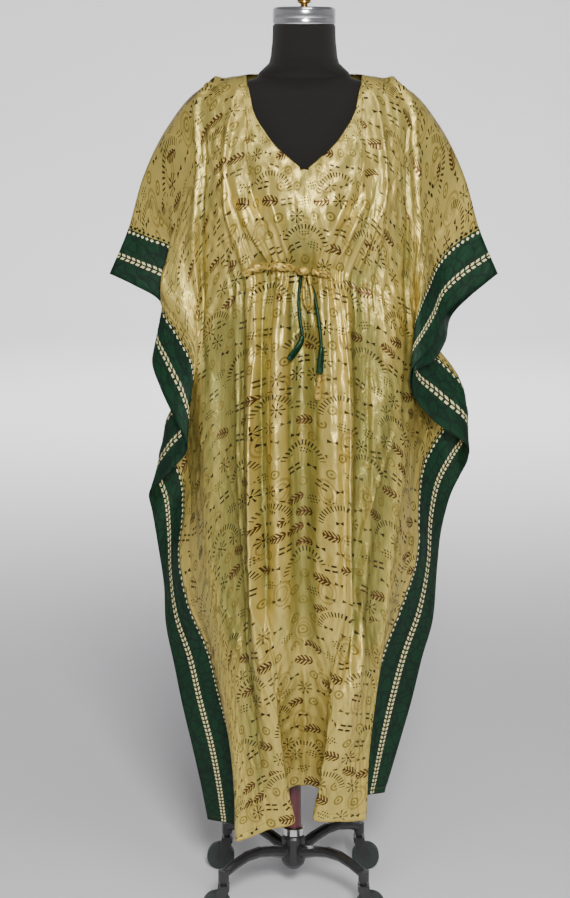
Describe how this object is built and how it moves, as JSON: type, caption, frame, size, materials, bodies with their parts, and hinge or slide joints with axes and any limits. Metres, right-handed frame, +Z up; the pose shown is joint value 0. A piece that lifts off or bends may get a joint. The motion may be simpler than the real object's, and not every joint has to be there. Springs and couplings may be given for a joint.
{
  "type": "kaftan on a dress form",
  "caption": "Wide kaftan with printed edge bands and a drawstring waist, worn by a limbless dress form on a wheeled stand.",
  "frame": {"origin": "on the floor, midway between the kaftan's widest points from side to side and from front to back", "axes": "+Z up, +X towards the kaftan's side on the viewer's right, the kaftan faces -Y"},
  "size_m": [0.664, 0.3144, 1.605],
  "materials": {
    "gold_cloth": "pale gold printed satin-like cloth",
    "green_cloth": "bottle green printed cloth",
    "black_jersey": "matte knitted cover, stretched over the form",
    "chrome": "polished plating",
    "brass": "polished, a little dull",
    "maroon_paint": "satin paint",
    "black_paint": "satin paint",
    "dark_rubber": "matte rubber tyre"
  },
  "bodies": {
    "root": {"form_body": "black_jersey", "neck_cap": "chrome", "cap_knob": "brass", "pole": "maroon_paint", "pole_ring": "chrome", "hub": "black_paint", "leg_front_left": "black_paint", "leg_front_right": "black_paint", "leg_rear_left": "black_paint", "leg_rear_right": "black_paint", "front_panel": "gold_cloth", "back_panel": "gold_cloth", "front_band_left": "green_cloth", "front_band_right": "green_cloth", "back_band_left": "green_cloth", "back_band_right": "green_cloth", "drawstring_left": "gold_cloth", "drawstring_right": "gold_cloth", "knot": "gold_cloth", "bow_loop": "gold_cloth", "tie_left": "green_cloth", "tie_right": "green_cloth", "tie_end_left": "green_cloth", "tie_end_right": "green_cloth", "tie_tip_right": "gold_cloth"},
    "fork_front_left": {"fork_front_left": "black_paint"},
    "wheel_front_left": {"wheel_front_left": "dark_rubber"},
    "fork_front_right": {"fork_front_right": "black_paint"},
    "wheel_front_right": {"wheel_front_right": "dark_rubber"},
    "fork_rear_left": {"fork_rear_left": "black_paint"},
    "wheel_rear_left": {"wheel_rear_left": "dark_rubber"},
    "fork_rear_right": {"fork_rear_right": "black_paint"},
    "wheel_rear_right": {"wheel_rear_right": "dark_rubber"}
  },
  "joints": [
    {"name": "swivel_front_left", "type": "hinge", "parent": "root", "child": "fork_front_left", "pos_m": [-0.13862, -0.11152, 0.06], "axis": [0, 0, 1], "continuous": true},
    {"name": "spin_front_left", "type": "hinge", "parent": "fork_front_left", "child": "wheel_front_left", "pos_m": [-0.15062, -0.11152, 0.02479], "axis": [0, 1, 0], "continuous": true},
    {"name": "swivel_front_right", "type": "hinge", "parent": "root", "child": "fork_front_right", "pos_m": [0.10462, -0.11152, 0.06], "axis": [0, 0, 1], "continuous": true},
    {"name": "spin_front_right", "type": "hinge", "parent": "fork_front_right", "child": "wheel_front_right", "pos_m": [0.11662, -0.11152, 0.02479], "axis": [0, 1, 0], "continuous": true},
    {"name": "swivel_rear_left", "type": "hinge", "parent": "root", "child": "fork_rear_left", "pos_m": [-0.13862, 0.13172, 0.06], "axis": [0, 0, 1], "continuous": true},
    {"name": "spin_rear_left", "type": "hinge", "parent": "fork_rear_left", "child": "wheel_rear_left", "pos_m": [-0.15062, 0.13172, 0.02479], "axis": [0, 1, 0], "continuous": true},
    {"name": "swivel_rear_right", "type": "hinge", "parent": "root", "child": "fork_rear_right", "pos_m": [0.10462, 0.13172, 0.06], "axis": [0, 0, 1], "continuous": true},
    {"name": "spin_rear_right", "type": "hinge", "parent": "fork_rear_right", "child": "wheel_rear_right", "pos_m": [0.11662, 0.13172, 0.02479], "axis": [0, 1, 0], "continuous": true}
  ]
}
